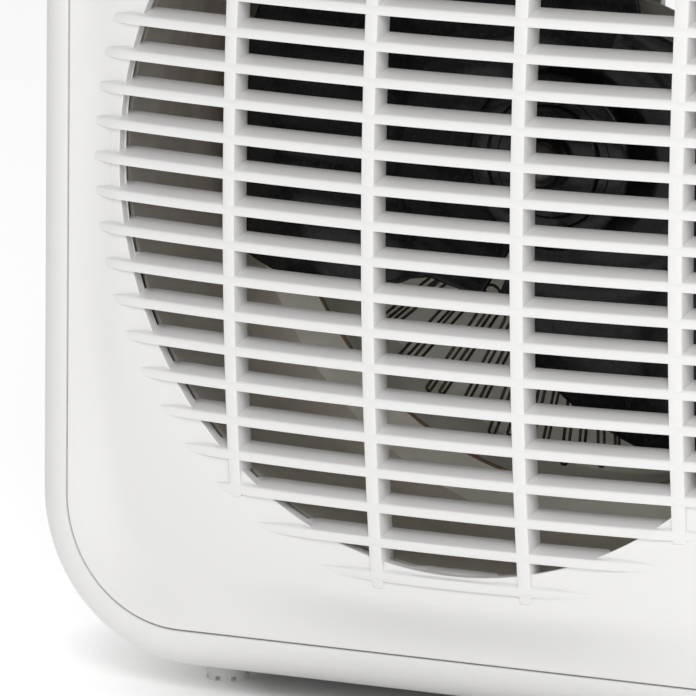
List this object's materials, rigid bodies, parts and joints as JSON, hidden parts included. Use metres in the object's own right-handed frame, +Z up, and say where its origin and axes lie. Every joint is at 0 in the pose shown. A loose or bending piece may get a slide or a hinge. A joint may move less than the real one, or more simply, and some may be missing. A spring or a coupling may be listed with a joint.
{
  "type": "fan heater",
  "caption": "Upright box fan heater with a crowned louvred grille, metal air duct, zigzag wire element, axial fan and motor, top knobs, notched feet and a rear air intake.",
  "frame": {"origin": "middle of the overall box in plan, on the surface that the feet stand on", "axes": "+Z up, +Y from the grille towards the rear cover, +X to the right seen from the front"},
  "size_m": [0.217, 0.144, 0.2721],
  "materials": {
    "white_shell": "fine satin",
    "grey_knob": "satin",
    "duct_metal": "mill finish",
    "zinc_steel": "zinc plated",
    "black_plastic": "gloss",
    "mica": "flaky mica board",
    "ceramic": "unglazed steatite",
    "nichrome": "oxidised resistance wire",
    "lamination": "stacked sheet",
    "copper": "enamelled wire",
    "nylon": "natural nylon",
    "bronze": "sintered bronze",
    "rubber_grey": "pale rubber",
    "amber_lens": "clear amber",
    "lamp_glass": "clear"
  },
  "bodies": {
    "root": {"front_grille": "white_shell", "case_body": "white_shell", "rear_cover": "white_shell", "duct_ring": "duct_metal", "fan_shroud": "duct_metal", "mica_spokes": "mica", "element_hub": "ceramic", "heating_wire_front": "nichrome", "heating_wire_rear": "nichrome", "thermal_cutout": "black_plastic", "thermal_fuse": "ceramic", "stator_core": "lamination", "winding_bobbin": "nylon", "stator_winding": "copper", "front_bearing_bracket": "duct_metal", "rear_bearing_bracket": "duct_metal", "front_bearing_bush": "bronze", "rear_bearing_bush": "bronze", "motor_plate": "duct_metal", "motor_screws": "zinc_steel", "control_panel": "grey_knob", "selector_switch": "black_plastic", "thermostat_frame": "ceramic", "thermostat_blade": "zinc_steel", "pilot_lens": "amber_lens", "pilot_lamp": "lamp_glass", "feet": "rubber_grey", "foot_screws": "zinc_steel", "tipover_switch": "black_plastic", "tipover_spring": "zinc_steel", "cord_gland": "black_plastic", "terminal_block": "nylon", "grille_screws": "zinc_steel", "rear_cover_screws": "zinc_steel", "duct_screws": "zinc_steel", "element_screws": "zinc_steel"},
    "fan": {"fan_impeller": "black_plastic", "fan_nut": "black_plastic", "motor_shaft": "zinc_steel", "motor_rotor": "lamination"},
    "selector": {"selector_knob": "white_shell", "selector_spindle": "nylon"},
    "thermostat": {"thermostat_knob": "white_shell", "thermostat_spindle": "zinc_steel"},
    "plunger": {"tipover_plunger": "grey_knob"}
  },
  "joints": [
    {"name": "fan_spin", "type": "hinge", "parent": "root", "child": "fan", "pos_m": [0, 0, 0.1207], "axis": [0, 1, 0], "continuous": true},
    {"name": "selector_turn", "type": "hinge", "parent": "root", "child": "selector", "pos_m": [-0.038, -0.002, 0.258], "axis": [0, 0, -1], "range_deg": [0, 180]},
    {"name": "thermostat_turn", "type": "hinge", "parent": "root", "child": "thermostat", "pos_m": [0.038, -0.002, 0.258], "axis": [0, 0, -1], "range_deg": [0, 270]},
    {"name": "plunger_slide", "type": "slide", "parent": "root", "child": "plunger", "axis": [0, 0, 1], "range_m": [-0.003, 0], "stiffness_N_per_m": 150, "springref_m": -0.006, "deforming": ["tipover_spring"]}
  ]
}
